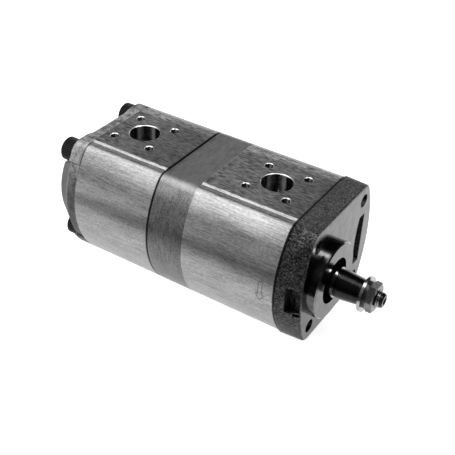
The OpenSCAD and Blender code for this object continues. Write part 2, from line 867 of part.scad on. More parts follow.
module spring_washer() {
    color([0.2, 0.2, 0.21]) difference() {
        bar(x_spring, x_nut, spring_washer_d / 2);
        bar(x_spring - over, x_nut + over, thread_d / 2 + fit_gap);
        rotate([slit_angle, 0, 0]) translate([x_spring - over, 0, -spring_slit / 2])
            cube([spring_washer_t + 2 * over, washer_d, spring_slit]);
    }
}

module shaft_nut() {
    corner = nut_af / 2 / cos(30);
    color([0.42, 0.42, 0.43]) difference() {
        intersection() {
            along_x(x_nut) rotate(nut_angle) cylinder(r = corner, h = nut_h, $fn = 6);
            union() {
                cone(x_nut, x_nut + nut_edge, corner - 2 * nut_edge, corner);
                bar(x_nut + nut_edge, x_thread - nut_edge, corner + over);
                cone(x_thread - nut_edge, x_thread, corner, corner - 2 * nut_edge);
            }
        }
        bar(x_nut - over, x_thread + over, thread_d / 2);
        cone(x_thread - turned_edge, x_thread + over, thread_d / 2, thread_d / 2 + turned_edge + over);
    }
}

front_cover();
front_housing();
centre_plate();
rear_housing();
rear_cover();
clamp_bolts();
dowel_pins();
drive_shaft();
front_driven_gear();
rear_drive_gear();
rear_driven_gear();
shaft_coupling();
bearing_block(x_front - back_gap, -1, front_block_l);  // bearing_block_1
bearing_block(x_mid_front + back_gap, 1, front_block_l);  // bearing_block_2
bearing_block(x_mid_rear - back_gap, -1, rear_block_l);  // bearing_block_3
bearing_block(x_back + back_gap, 1, rear_block_l);  // bearing_block_4
bush(x_front - back_gap, -1, front_block_l, 0);  // drive_bush_1
bush(x_mid_front + back_gap, 1, front_block_l, 0);  // drive_bush_2
bush(x_mid_rear - back_gap, -1, rear_block_l, 0);  // drive_bush_3
bush(x_back + back_gap, 1, rear_block_l, 0);  // drive_bush_4
bush(x_front - back_gap, -1, front_block_l, centre_distance);  // driven_bush_1
bush(x_mid_front + back_gap, 1, front_block_l, centre_distance);  // driven_bush_2
bush(x_mid_rear - back_gap, -1, rear_block_l, centre_distance);  // driven_bush_3
bush(x_back + back_gap, 1, rear_block_l, centre_distance);  // driven_bush_4
pressure_seal(x_front - back_gap, -1);  // pressure_seal_1
pressure_seal(x_mid_front + back_gap, 1);  // pressure_seal_2
pressure_seal(x_mid_rear - back_gap, -1);  // pressure_seal_3
pressure_seal(x_back + back_gap, 1);  // pressure_seal_4
joint_seal(x_front, 1);  // joint_seal_1
joint_seal(x_mid_front, -1);  // joint_seal_2
joint_seal(x_mid_rear, 1);  // joint_seal_3
joint_seal(x_back, -1);  // joint_seal_4
shaft_seal();
retaining_ring();
woodruff_key();
plain_washer();
spring_washer();
shaft_nut();
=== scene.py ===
# %% [markdown]
# This lesson dresses a tandem gear pump. The solids come ready from the CAD model as a frame,
# and the lesson adds the camera, the light, the finish of every piece and the small details
# that a CAD model leaves out: the cut thread on the shaft's end and the rotation arrow.
# All lengths are in metres. +X runs out along the drive shaft, +Z points to the inlet ports.

# %% Load the frame
import bmesh
import bpy
from math import pi, radians
from mathutils import Matrix, Vector


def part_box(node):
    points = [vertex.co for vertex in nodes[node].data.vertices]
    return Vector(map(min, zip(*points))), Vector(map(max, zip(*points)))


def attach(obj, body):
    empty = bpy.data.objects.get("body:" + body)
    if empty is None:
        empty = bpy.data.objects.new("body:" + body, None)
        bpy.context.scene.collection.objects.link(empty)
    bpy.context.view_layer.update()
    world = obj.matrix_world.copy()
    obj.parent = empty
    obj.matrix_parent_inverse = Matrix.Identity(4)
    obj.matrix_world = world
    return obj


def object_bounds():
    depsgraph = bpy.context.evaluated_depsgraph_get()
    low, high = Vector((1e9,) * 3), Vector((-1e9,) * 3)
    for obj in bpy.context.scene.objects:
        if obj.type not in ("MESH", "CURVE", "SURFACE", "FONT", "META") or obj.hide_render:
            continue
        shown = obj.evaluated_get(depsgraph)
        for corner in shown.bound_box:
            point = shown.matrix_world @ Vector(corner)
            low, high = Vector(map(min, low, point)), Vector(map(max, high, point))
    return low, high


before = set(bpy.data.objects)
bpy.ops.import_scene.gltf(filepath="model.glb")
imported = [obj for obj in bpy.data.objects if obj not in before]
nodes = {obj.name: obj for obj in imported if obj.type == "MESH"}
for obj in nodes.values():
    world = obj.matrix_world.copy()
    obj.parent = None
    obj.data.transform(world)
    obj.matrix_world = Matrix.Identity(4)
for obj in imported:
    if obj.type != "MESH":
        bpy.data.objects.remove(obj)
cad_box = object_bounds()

MM = 0.001

# %% [markdown]
# The pump lies so that its inlet ports look up, and the photograph looks down on it from
# the shaft end. A long lens from a little over half a metre keeps the long body slightly
# tapered. A camera could be aimed by a constraint, but here it is placed as on a crane: aim
# point, turn, tilt, roll and then back along its arm, so each value has one plain meaning.

# %% Camera
AIM = Vector((-81.69, 18.77, -9.13)) * MM
TURN, TILT, ROLL = radians(31.30), radians(35.80), radians(2.77)
ARM = 579.03 * MM
SENSOR = 36.0
FOCAL_PIXELS, FRAME_PIXELS = 868.65, 455

camera_data = bpy.data.cameras.new("photo_camera")
camera_data.sensor_width = SENSOR
camera_data.lens = FOCAL_PIXELS / FRAME_PIXELS * SENSOR
camera_data.clip_start = 10 * MM
camera = bpy.data.objects.new("photo_camera", camera_data)
camera.matrix_world = (
    Matrix.Translation(AIM)
    @ Matrix.Rotation(TURN, 4, "Z")
    @ Matrix.Rotation(pi / 2 - TILT, 4, "X")
    @ Matrix.Rotation(ROLL, 4, "Z")
    @ Matrix.Translation((0, 0, ARM))
)
bpy.context.scene.collection.objects.link(camera)
bpy.context.scene.camera = camera
bpy.context.scene.view_settings.view_transform = "Standard"
print("lens", round(camera_data.lens, 2), "mm")

# %% [markdown]
# Metal shows what it mirrors. A small lamp or a sun would show as hard white dots on it, so
# the light comes from large soft boxes, which are area lights. A long box hangs over the pump,
# to its rear and near side. The rounded long edges mirror it as a bright band, while the flat
# port faces mirror the dark room behind. A wide low box on the near side gives the near sides
# their middle grey, and one behind lights the far rounded edge. A small box over the shaft
# puts a gleam on the spigot. A smaller, stronger one beside it is only there to be mirrored
# at the foot of the spigot, so it takes no part in diffuse light.

# %% Light
def soft_box(name, place, tilt, size, radiance):
    """A rectangular area light, tilted in degrees, whose surface has the given brightness."""
    width, depth = size
    light = bpy.data.lights.new(name, "AREA")
    light.shape = "RECTANGLE"
    light.size, light.size_y = width, depth
    light.energy = radiance * pi * width * depth
    lamp = bpy.data.objects.new(name, light)
    lamp.location = place
    lamp.rotation_euler = [radians(angle) for angle in tilt]
    lamp.visible_camera = False
    bpy.context.scene.collection.objects.link(lamp)
    return lamp

soft_box("overhead_box", (-0.50, -0.50, 1.08), tilt=(22, -23, 0), size=(1.2, 1.7), radiance=3.9)
soft_box("near_box", (-1.20, -2.00, 0.30), tilt=(90, 0, 0), size=(2.4, 0.5), radiance=0.8)
soft_box("shaft_box", (0.50, 0.12, 1.10), tilt=(-6, 24, 0), size=(0.6, 0.6), radiance=3.0)
soft_box("far_box", (-0.60, 1.20, 0.20), tilt=(-90, 0, 0), size=(1.8, 0.5), radiance=1.6)
glint_box = soft_box("glint_box", (0.32, 0.12, 0.95), tilt=(-7, 19, 0), size=(0.22, 0.22), radiance=42)
glint_box.visible_diffuse = False

# %% [markdown]
# The room itself is an even dark grey, which the polished faces mirror. A picture of a real
# room would put its windows into them. Where the camera looks straight at the room, in the
# side views, it is shown paler, so that the backdrop stays plain.

# %% Room
ROOM_GREY, BACKDROP_GREY = 0.035, 0.90
world = bpy.data.worlds.new("room")
world.use_nodes = True
room = world.node_tree
path = room.nodes.new("ShaderNodeLightPath")
shade = room.nodes.new("ShaderNodeMapRange")
shade.inputs["To Min"].default_value = ROOM_GREY
shade.inputs["To Max"].default_value = BACKDROP_GREY
room.links.new(path.outputs["Is Camera Ray"], shade.inputs["Value"])
room.links.new(shade.outputs["Result"], room.nodes["Background"].inputs["Strength"])
room.nodes["Background"].inputs["Color"].default_value = (1, 1, 1, 1)
bpy.context.scene.world = world
print("room", ROOM_GREY, "and backdrop", BACKDROP_GREY)

# %% [markdown]
# A finish is a small network of nodes. Written out node by node it soon turns into a long list
# of links, so two classes keep it readable. The first, Wire, stands for a socket and knows
# sums, so 1 - mask adds a Math node. An operator with r in its name serves a plain number
# that stands on the left.

# %% Wires
class Wire:
    def __init__(self, finish, socket):
        self.finish, self.socket = finish, socket

    def maths(self, operation, *values):
        return self.finish.node("ShaderNodeMath", {"operation": operation},
                                dict(enumerate((self, *values))))

    def __add__(self, other):
        return self.maths("ADD", other)

    def __mul__(self, other):
        return self.maths("MULTIPLY", other)

    def __sub__(self, other):
        return self.maths("SUBTRACT", other)

    def __rsub__(self, other):
        return self.finish.node("ShaderNodeMath", {"operation": "SUBTRACT"}, {0: other, 1: self})

    def __abs__(self):
        return self.maths("ABSOLUTE")

    __radd__, __rmul__ = __add__, __mul__

    def part(self, name):
        """Another output of the node that this wire comes from."""
        return Wire(self.finish, self.socket.node.outputs[name])

print("wires add, subtract, multiply and take absolute values")

# %% [markdown]
# The second class, Finish, makes a material. Its method node adds any node: it takes the
# node's type, its settings and then the values or links of its sockets. The other methods are
# what the finishes share: a cloudy grain, a smooth rise, a wave and the paint that feeds the
# shader. Patterns could follow a UV map, but every solid would have to be unwrapped first.
# They read Object coordinates instead, so they stay on the metal when it turns.

# %% Finishes
class Finish:
    def __init__(self, name, metallic=1.0):
        self.material = bpy.data.materials.new(name)
        self.material.use_nodes = True
        self.tree = self.material.node_tree
        self.shader = self.tree.nodes["Principled BSDF"]
        self.shader.inputs["Metallic"].default_value = metallic
        self.place = self.node("ShaderNodeTexCoord", {}, {}, "Object")
        xyz = self.node("ShaderNodeSeparateXYZ", {}, {"Vector": self.place}, "X")
        self.x, self.y, self.z = xyz, xyz.part("Y"), xyz.part("Z")
        facing = self.node("ShaderNodeSeparateXYZ", {}, {"Vector": self.place.part("Normal")}, "X")
        self.nx, self.ny, self.nz = facing, facing.part("Y"), facing.part("Z")

    def node(self, kind, settings, inputs, output=0):
        made = self.tree.nodes.new(kind)
        for key, value in settings.items():
            setattr(made, key, value)
        for key, value in inputs.items():
            if isinstance(value, Wire):
                self.tree.links.new(value.socket, made.inputs[key])
            else:
                made.inputs[key].default_value = value
        return Wire(self, made.outputs[output])

    def feed(self, socket, wire):
        """Leads a wire to a socket of the shader."""
        self.tree.links.new(wire.socket, self.shader.inputs[socket])

    def rise(self, value, low, high, to_low=0.0, to_high=1.0):
        """Goes smoothly from to_low to to_high while value goes from low to high."""
        return self.node("ShaderNodeMapRange", {"interpolation_type": "SMOOTHSTEP"},
                         {"Value": value, "From Min": low, "From Max": high,
                          "To Min": to_low, "To Max": to_high})

    def grain(self, size, stretch=(1, 1, 1), detail=2.0, rough=0.6):
        """Cloudy noise from 0 to 1 whose spots are about size across, stretched per axis."""
        scaled = self.node("ShaderNodeVectorMath", {"operation": "MULTIPLY"},
                           {0: self.place, 1: [1 / (size * s) for s in stretch]})
        noise = self.node("ShaderNodeTexNoise", {"noise_dimensions": "3D"},
                          {"Vector": scaled, "Scale": 1.0, "Detail": detail, "Roughness": rough})
        return self.rise(noise, 0.28, 0.72)

    def waves(self, value, pitch):
        """A sine wave from -1 to 1 that repeats every pitch."""
        return (value * (2 * pi / pitch)).maths("SINE")

    def paint(self, grey, roughness, height=None, depth=0.0, tint=(1.0, 1.0, 1.0)):
        """Feeds the shader: grey, roughness, and a bump whose height of 1 is depth metres."""
        colour = self.node("ShaderNodeCombineColor", {},
                           {"Red": grey * tint[0], "Green": grey * tint[1], "Blue": grey * tint[2]})
        self.feed("Base Color", colour)
        self.feed("Roughness", roughness)
        if height is not None:
            self.feed("Normal", self.node("ShaderNodeBump", {},
                                          {"Height": height, "Distance": depth, "Strength": 1.0}))
        return self.material

print("finishes know grain, rise, waves and paint")

# %% [markdown]
# The solids of the frame keep their shape. Each could be copied and dressed as a new piece,
# but it is simpler to clear the material that a solid came with and to put the new one in
# its place.

# %% Dress a node
def dress(names, material):
    """Gives every named CAD node one material."""
    for name in names:
        mesh = nodes[name].data
        mesh.materials.clear()
        mesh.materials.append(material)
    print(material.name, "on", len(names), "nodes")

def several(stem, count=4):
    """The names of numbered nodes, such as drive_bush_1 to drive_bush_4."""
    return [stem + "_" + str(i) for i in range(1, count + 1)]

print("numbered nodes such as", several("drive_bush"))

# %% [markdown]
# New pieces start as a bmesh, which is a mesh that is still open for work. When its shape is
# done it has to become a mesh and an object, and this helper does both. The object stays at
# the origin, because the place of a piece is in its mesh.

# %% Place a new piece
def linked(name, shape):
    """Turns a bmesh into an object of the scene and frees it."""
    mesh = bpy.data.meshes.new(name)
    shape.to_mesh(mesh)
    shape.free()
    piece = bpy.data.objects.new(name, mesh)
    bpy.context.scene.collection.objects.link(piece)
    print("new piece", name, "with", len(mesh.vertices), "corners")
    return piece

# %% [markdown]
# The pump stands on a plain pale floor, level with the lowest faces of its body. A floor of
# plain paper would need much more light from above, which the metal would mirror. So this
# one glows a little, as a light table does, and the shadow under the pump stays faint.

# %% Floor
FLOOR_SIZE, FLOOR_GLOW, FLOOR_GREY = 12.0, 0.88, 0.60

def sheet_of(name, size, place, lean=0.0):
    """A square sheet, size across, that belongs to the studio and leans about X."""
    shape = bmesh.new()
    bmesh.ops.create_grid(shape, x_segments=2, y_segments=2, size=size / 2)
    bmesh.ops.rotate(shape, verts=shape.verts, matrix=Matrix.Rotation(lean, 3, "X"))
    bmesh.ops.translate(shape, verts=shape.verts, vec=place)
    piece = linked(name, shape)
    return piece

FLOOR_Z = cad_box[0][2]
floor = sheet_of("studio_floor", FLOOR_SIZE, (0, 0, FLOOR_Z))
paper = Finish("pale_paper", metallic=0.0)
paper.shader.inputs["Emission Color"].default_value = (1, 1, 1, 1)
paper.shader.inputs["Emission Strength"].default_value = FLOOR_GLOW
paper.paint(FLOOR_GREY + 0.02 * paper.grain(0.4), 0.75 + 0.1 * paper.grain(0.1))
floor.data.materials.append(paper.material)
print("floor at", round(FLOOR_Z / MM, 2), "mm")

# %% [markdown]
# A photographer keeps shiny metal from turning white with black cards, as dimmer lights would
# darken all of it alike. A large one lies on the floor to the near side, a small one stands
# beside the shaft and a third leans above it. Only mirrored rays meet them, so they put dark
# streaks into the sides, the spigot and the shaft and stay out of every picture.

# %% Black cards
velvet = Finish("black_velvet", metallic=0.0)
velvet.paint(0.012 + 0.004 * velvet.grain(0.05), 0.9 + 0.05 * velvet.grain(0.02))

def black_card(name, size, place, lean=0.0):
    card = sheet_of(name, size, place, lean)
    for ray in ("camera", "diffuse", "transmission", "volume_scatter", "shadow"):
        setattr(card, "visible_" + ray, False)
    card.data.materials.append(velvet.material)

SIDE_CARD = 4.0
SIDE_CARD_START_X, SIDE_CARD_EDGE_Y = -280 * MM, -108 * MM
side_card_x = SIDE_CARD_START_X + SIDE_CARD / 2
side_card_y = SIDE_CARD_EDGE_Y - SIDE_CARD / 2
black_card("side_card", SIDE_CARD, (side_card_x, side_card_y, FLOOR_Z + 1 * MM))
black_card("near_shaft_card", 46 * MM, (2 * MM, -52 * MM, 18 * MM), lean=radians(90))
black_card("high_shaft_card", 78 * MM, (-1 * MM, -65 * MM, 87 * MM), lean=radians(35))

# %% [markdown]
# The finishes follow places on the pump, such as its middle line and its port faces. These
# could be typed in, but they come from the CAD nodes' own boxes, so most of them move along
# when a size of the model changes. The ports lie inside the housings, where a box doesn't
# show them, so their places are given here.

# %% Places
front_low, front_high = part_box("front_housing")
rear_low, rear_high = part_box("rear_housing")
MID_Y = (front_low.y + front_high.y) / 2
PORT_Z = front_high.z
PORT_X = {"front_housing": -46.1 * MM, "rear_housing": -147.7 * MM}
print("middle at y", round(MID_Y / MM, 3), "mm and port faces at z", round(PORT_Z / MM, 2), "mm")

# %% [markdown]
# The housings are extruded aluminium. The press leaves fine lines along the whole length,
# the port pads are milled, and the bores are drilled and tapped. Each zone could be a
# material of its own, but the faces would have to be split for that. One network holds all of
# them instead, and tells them apart by height and by which way the surface faces. A zone is a
# mask from 0 to 1.

# %% Zones of a housing
PAD_EDGE_Y = MID_Y - 27.35 * MM
PORT_REACH = 18 * MM
SCREW_REACH = 11 * MM
HOLE_FLOOR = 20 * MM
REFLECTION_WAY, REFLECTION_OFF = (-0.52, 0.85), 8.7 * MM

class Zones:
    """The masks of one housing, which say where each kind of surface lies."""
    def __init__(self, metal, port_x):
        height, level = abs(metal.z), abs(metal.nz)
        dx, dy = metal.x - port_x, metal.y - MID_Y
        far = abs(dx).maths("MAXIMUM", abs(dy))
        near = abs(dx).maths("MINIMUM", abs(dy))
        pad = metal.rise(height, PORT_Z - 0.25 * MM, PORT_Z - 0.1 * MM)
        self.milled = pad * metal.rise(level, 0.9, 0.97)
        # A flat ledge lies between each pad and the rounded edge
        below_pad = metal.rise(height, PORT_Z - 2 * MM, PORT_Z - 1 * MM)
        self.ledge = (1 - pad) * metal.rise(level, 0.985, 0.997) * below_pad
        # The screw holes and the port bore stand upright round the port's axis
        upright = metal.rise(level, 0.97, 0.9) * metal.rise(height, HOLE_FLOOR, HOLE_FLOOR + 1 * MM)
        self.opening = metal.rise(far, PORT_REACH + 0.5 * MM, PORT_REACH) * upright
        self.bore = self.opening * metal.rise(level, 0.25, 0.1)
        self.tapped = metal.rise(near, SCREW_REACH, SCREW_REACH + 0.5 * MM)
        self.rim = metal.rise(height, PORT_Z - 0.45 * MM, PORT_Z - 0.2 * MM)
        # Two upright bands inside each port are painted paler, as painted reflections on the bore's
        # wall
        sideways = abs(dx * REFLECTION_WAY[0] + dy * REFLECTION_WAY[1])
        band = metal.rise(abs(sideways - REFLECTION_OFF), 1.5 * MM, 0.1 * MM)
        self.painted_reflection = band * (1 - self.tapped)

print("ports at x", [round(x / MM, 1) for x in PORT_X.values()], "mm")

# %% [markdown]
# Each zone has its own grey. The sides are pale where the press lines catch the light, and the
# flat ledge beside each pad is a painted highlight. A pad is darker towards the shaft, as
# painted shade of the flange, and paler at its far margin, as a painted highlight. A painted
# highlight runs along its near edge. The rear rim of the front pad is worn.

# %% Greys of a housing
def side_grey(zone, lines, dashes, cloud):
    # The flat ledge is painted 2.6 times paler, as a painted highlight
    return (0.09 + 0.10 * lines + 0.11 * dashes + 0.05 * cloud) * (1 + 1.6 * zone.ledge)

def pad_grey(metal, port_x, strokes, cloud):
    # The far margin is painted paler, as a painted highlight
    far_margin_highlight = metal.rise(metal.y, MID_Y + 20 * MM, MID_Y + 25 * MM)
    # Towards the flange the pad is painted darker, as painted shade of the flange
    flange_shade = metal.rise(metal.x - port_x, -5 * MM, 22 * MM, 1.1, 0.75)
    return (0.035 + 0.24 * strokes + 0.06 * cloud) * (1 + 1.1 * far_margin_highlight) * flange_shade

def wear_and_highlight_grey(metal, zone):
    worn = zone.milled * metal.rise(abs(metal.x - front_low.x), 0.9 * MM, 0.2 * MM)
    # A painted highlight runs along the near edge of the pad
    pad_edge_highlight = zone.milled * metal.rise(metal.y, PAD_EDGE_Y + 1.1 * MM, PAD_EDGE_Y + 0.7 * MM)
    return 0.12 * worn + 0.75 * pad_edge_highlight

# Inside a bore, two bands are painted paler as painted reflections
def hole_grey(zone):
    # The rim of each hole is painted paler, as a painted highlight on its edge
    return (0.08 + 0.60 * zone.rim) * (1 - zone.bore) + (0.10 + 0.70 * zone.painted_reflection) * zone.bore

print("greys for the sides, the pads, the wear and the holes")

# %% [markdown]
# Where two sections meet, a dark line is painted: partly dirt and oil that gather in the
# joint, partly painted shade in the narrow gap. A groove would change the solids, so the line
# is painted. It is wide at the flange and at the rear side of the centre plate, and fine at
# the rear cover.

# %% Joint lines
WIDE_JOINT = {"front_housing": front_high.x, "rear_housing": rear_high.x}
FINE_JOINT = {"rear_housing": rear_low.x}

def joint_dirt_and_shade(metal, zone, name):
    # A dark joint line: partly dirt, partly painted shade in the gap
    line = metal.rise(abs(metal.x - WIDE_JOINT[name]), 0.95 * MM, 0.55 * MM)
    if name in FINE_JOINT:
        fine = metal.rise(abs(metal.x - FINE_JOINT[name]), 0.5 * MM, 0.2 * MM, 0.0, 0.6)
        line = line.maths("MAXIMUM", fine)
    return 1 - line * (0.95 - 0.35 * zone.milled)

print("wide joints at x", [round(x / MM, 1) for x in WIDE_JOINT.values()], "mm")

# %% [markdown]
# The zones, greys and joint lines come together here. The grains are stretched along X for
# the sides, as the press pulled the metal, and the milling strokes are shorter. The tapped
# holes get ribs as a bump, because real threads at this size would cost thousands of faces.
# The ribs' height is a multiple of the bump depth of the sides.

# %% Extruded housings
RIB_PITCH, RIB_HEIGHT = 1.0 * MM, 3.0
SIDE_DEPTH = 0.045 * MM

def extruded(name):
    metal = Finish("extruded_" + name)
    zone = Zones(metal, PORT_X[name])
    lines = metal.grain(0.7 * MM, (22, 1, 1))
    dashes = metal.grain(0.8 * MM, (2.6, 1, 1))
    cloud = metal.grain(11 * MM, (2.5, 1, 1))
    strokes = metal.grain(0.9 * MM, (5.5, 1, 1))
    side, top = 1 - zone.milled, zone.milled
    skin = side_grey(zone, lines, dashes, cloud) * side
    skin = skin + pad_grey(metal, PORT_X[name], strokes, cloud) * top + wear_and_highlight_grey(metal, zone)
    grey = skin * (1 - zone.opening) + hole_grey(zone) * zone.opening
    rough = (0.29 + 0.03 * lines + 0.04 * dashes) * side + (0.38 + 0.14 * strokes) * top
    rough = rough * (1 - zone.opening * 0.5) + 0.28 * zone.opening * zone.rim
    height = ((lines * 0.3 + dashes * 0.15) * side + strokes * top) * (1 - zone.opening)
    height = height + metal.waves(metal.z, RIB_PITCH) * zone.bore * zone.tapped * RIB_HEIGHT
    metal.feed("Metallic", 0.90 + 0.10 * zone.opening - 0.25 * zone.bore * zone.painted_reflection)
    return metal.paint(grey * joint_dirt_and_shade(metal, zone, name), rough, height, SIDE_DEPTH)

for name in PORT_X:
    dress([name], extruded(name))

# %% [markdown]
# The centre plate is milled all round, so it is duller than the housings, and its tool
# marks run round the body instead of along it. An anisotropic shader would only smear the
# gloss, so a grain stretched along Y and Z draws them, in the grey and as a bump. The upper
# face is painted paler than the sides, as painted light from above.

# %% Centre plate
PLATE_DEPTH = 0.035 * MM
plate = Finish("milled_plate", metallic=0.95)
round_lines = plate.grain(0.8 * MM, (1, 9, 9))
plate_cloud = plate.grain(9 * MM)
plate_specks = plate.grain(0.9 * MM)
plate_up = plate.rise(plate.nz, 0.5, 0.9)
# The joint line at the plate is partly dirt and partly painted shade
plate_joint = plate.rise(plate.x, rear_high.x + 0.9 * MM, rear_high.x + 0.6 * MM) * (1 - 0.4 * plate_up)
# plate_up paints the upper face paler, as painted light from above
plate_grey = 0.03 + 0.05 * round_lines + 0.035 * plate_cloud + 0.11 * plate_up + 0.07 * plate_specks
plate_grey = plate_grey * (1 - plate_joint * 0.95)
plate_rough = 0.33 + 0.08 * round_lines + 0.10 * plate_up
plate_height = round_lines * 0.5 + plate_specks * 0.5
dress(["centre_plate"], plate.paint(plate_grey, plate_rough, plate_height, PLATE_DEPTH))

# %% [markdown]
# The flange is cast iron. Its sides keep the dark rough skin of the sand mould: black dents,
# and bare spots where the tops of the grains were rubbed. Real dents would cost too many
# faces, so one grain makes both the bump and the grey. It is cubed for the grey, so that the
# bare spots stay small. The near upper corner, which faces the light, gets a speckled painted
# highlight.

# %% Cast skin of the flange
SKIN_DEPTH = 0.30 * MM
iron = Finish("cast_iron_flange")
bumps = iron.grain(1.1 * MM, (1, 1, 1), 3.0, 0.75)
patches = iron.grain(6 * MM)
corner = iron.rise(iron.x, -15 * MM, -6 * MM)
corner = corner * iron.rise(iron.ny, -0.15, -0.35) * iron.rise(iron.nz, 0.35, 0.6)
# A speckled painted highlight where the corner faces the light
corner_highlight = corner * iron.rise(iron.grain(0.8 * MM, (3, 1, 1)), 0.4, 0.9)
# The joint line at the flange is partly dirt and partly painted shade
iron_joint = iron.rise(iron.x, front_high.x + 1.25 * MM, front_high.x + 0.85 * MM)
skin_grey = 0.002 + 0.15 * bumps * bumps * bumps + 0.012 * patches + 0.11 * corner_highlight
skin_grey = skin_grey * (1 - iron_joint * 0.95)
skin_rough = 0.30 + 0.20 * bumps
print("flange joint at x", round(front_high.x / MM, 1), "mm")

# %% [markdown]
# The front face and the spigot of the flange are turned bright, with fine rings round the
# shaft. They belong to the same casting as the skin, so they share its network. The spigot
# is told apart by its distance from the shaft's axis, and its broken edge by its slope. The
# spigot's side is painted darker, as painted shade, and its broken edge paler, as a painted
# highlight.

# %% Turned face and spigot
SPIGOT_R = 25 * MM
RING_PITCH, RING_HEIGHT = 0.35 * MM, 0.004
from_axis = (iron.y * iron.y + iron.z * iron.z).maths("SQRT")
face = iron.rise(iron.x, -0.25 * MM, -0.1 * MM) * iron.rise(iron.nx, 0.5, 0.8)
spigot = iron.rise(from_axis, SPIGOT_R + 0.4 * MM, SPIGOT_R + 0.2 * MM)
spigot = spigot * iron.rise(iron.x, -0.3 * MM, -0.1 * MM)
machined = face.maths("MAXIMUM", spigot)
spigot_side_shade = spigot * iron.rise(iron.nx, 0.3, 0.1)
broken_edge_highlight = spigot * iron.rise(iron.nx, 0.3, 0.5) * iron.rise(iron.nx, 0.95, 0.85)
dust = iron.grain(0.8 * MM)
# The spigot's side is painted darker as painted shade; its broken edge paler as a painted highlight
face_grey = (0.045 + 0.04 * patches + 0.025 * dust) * (1 - spigot_side_shade * 0.2 + broken_edge_highlight * 0.8)
face_rough = 0.13 + 0.05 * dust
tool_rings = iron.waves(from_axis, RING_PITCH) * RING_HEIGHT
iron_height = bumps * (1 - machined) + tool_rings * machined
iron_grey = skin_grey * (1 - machined) + face_grey * machined
iron_rough = skin_rough * (1 - machined) + face_rough * machined
dress(["front_cover"], iron.paint(iron_grey, iron_rough, iron_height, SKIN_DEPTH))

# %% [markdown]
# The rear cover is die-cast aluminium: smooth, dull and slightly mottled. It is painted paler
# where it faces up, as painted light from above, and it is darker on its raised middle block.
# Two grains, one coarse and one fine, are enough for it, and the same pair makes its faint bump.

# %% Rear cover
BLOCK_X, CAST_DEPTH = -179 * MM, 0.18 * MM
die_cast = Finish("die_cast_cover", metallic=0.85)
mottle = die_cast.grain(4.5 * MM, (1, 1, 1), 3.0)
grit = die_cast.grain(0.9 * MM)
cast_top_light = die_cast.rise(die_cast.nz, 0.0, 0.8)
cast_block = die_cast.rise(die_cast.x, BLOCK_X + 0.5 * MM, BLOCK_X - 0.5 * MM)
# Faces that look up are painted paler, as painted light from above
cast_grey = (0.06 + 0.26 * mottle + 0.12 * grit) * (0.24 + 0.80 * cast_top_light) * (1 - cast_block * 0.5)
cast_height = mottle * 0.6 + grit * 0.4
dress(["rear_cover"], die_cast.paint(cast_grey, 0.48 + 0.14 * mottle, cast_height, CAST_DEPTH))

# %% [markdown]
# Small parts of steel and bronze share one recipe: a grey, a roughness and fine marks. Each
# could have its own network, but most of them are seen small or not at all, so one function
# makes them all. Stretched along X the marks look ground, and even ones look plated or cast.

# %% Steel and bearing finishes
FINE_DEPTH = 0.02 * MM

def fine_metal(name, grey, rough, spread=0.12, size=0.8 * MM, stretch=(1, 1, 1), metallic=1.0,
               tint=(1.0, 1.0, 1.0)):
    """A finish whose grey varies by the share spread, with fine marks as a bump."""
    metal = Finish(name, metallic)
    marks = metal.grain(size, stretch)
    cloud = metal.grain(6 * MM)
    tone = grey * (1 - spread) + (grey * spread) * (marks + cloud)
    return metal.paint(tone, rough * 0.85 + (rough * 0.3) * marks, marks, FINE_DEPTH, tint)

GEARS = ["front_driven_gear", "rear_drive_gear", "rear_driven_gear", "shaft_coupling"]
BRONZE = (1.0, 0.66, 0.36)
dress(["dowel_pins"], fine_metal("ground_pins", 0.50, 0.28, stretch=(12, 1, 1)))
dress(GEARS, fine_metal("ground_gear_steel", 0.48, 0.26, stretch=(8, 1, 1)))
dress(["retaining_ring", "spring_washer"], fine_metal("black_spring_steel", 0.05, 0.40, 0.4))
dress(["woodruff_key"], fine_metal("bright_key_steel", 0.42, 0.32))
dress(["plain_washer"], fine_metal("zinc_plate", 0.30, 0.20, 0.2))
dress(["shaft_nut"], fine_metal("dark_zinc_nut", 0.12, 0.26, 0.4))
dress(several("bearing_block"), fine_metal("cast_bearing_blocks", 0.55, 0.42, size=1.2 * MM))
bushes = several("drive_bush") + several("driven_bush")
dress(bushes, fine_metal("bronze_lining", 0.55, 0.40, tint=BRONZE))

# %% [markdown]
# The seals are moulded rubber. It shares the recipe of the small parts, but with no metal in
# it, so it keeps its dark colour and only gleams a little.

# %% Rubber
rubber = fine_metal("moulded_rubber", 0.022, 0.62, 0.3, metallic=0.0)
dress(several("pressure_seal") + several("joint_seal") + ["shaft_seal"], rubber)

# %% [markdown]
# The heads of the clamp bolts are knurled, so that fingers can start them. Cut grooves would
# need many faces, so the knurl is a wave that runs round each bolt's own axis. It stops at
# the rounded rim of the head. Black oxide is almost free of gloss, hence the low specular.

# %% Clamp bolts
BOLT_STEP = 30 * MM
KNURL_TEETH, KNURL_DEPTH = 40, 0.12 * MM
oxide = Finish("black_oxide_bolts", metallic=0.0)
oxide.shader.inputs["Specular IOR Level"].default_value = 0.025
across, up = abs(oxide.y - MID_Y) - BOLT_STEP, abs(oxide.z) - BOLT_STEP
head_side = oxide.rise(abs(oxide.nx), 0.3, 0.1)
knurl = (across.maths("ARCTAN2", up) * KNURL_TEETH).maths("SINE") * head_side
oxide_marks = oxide.grain(0.8 * MM)
# The knurl's crests are painted a little paler, as a painted highlight
oxide_grey = 0.002 + 0.004 * oxide_marks + 0.025 * knurl.maths("MAXIMUM", 0.0)
dress(["clamp_bolts"], oxide.paint(oxide_grey, 0.26 + 0.14 * oxide_marks, knurl, KNURL_DEPTH))

# %% [markdown]
# The drive shaft is blackened and oiled where it leaves the pump, and ground bright where
# it runs in its bushes and where the teeth mesh. It is one piece, so a rise along X parts
# the two instead of a second material. The oil film is a thin coat over the metal.

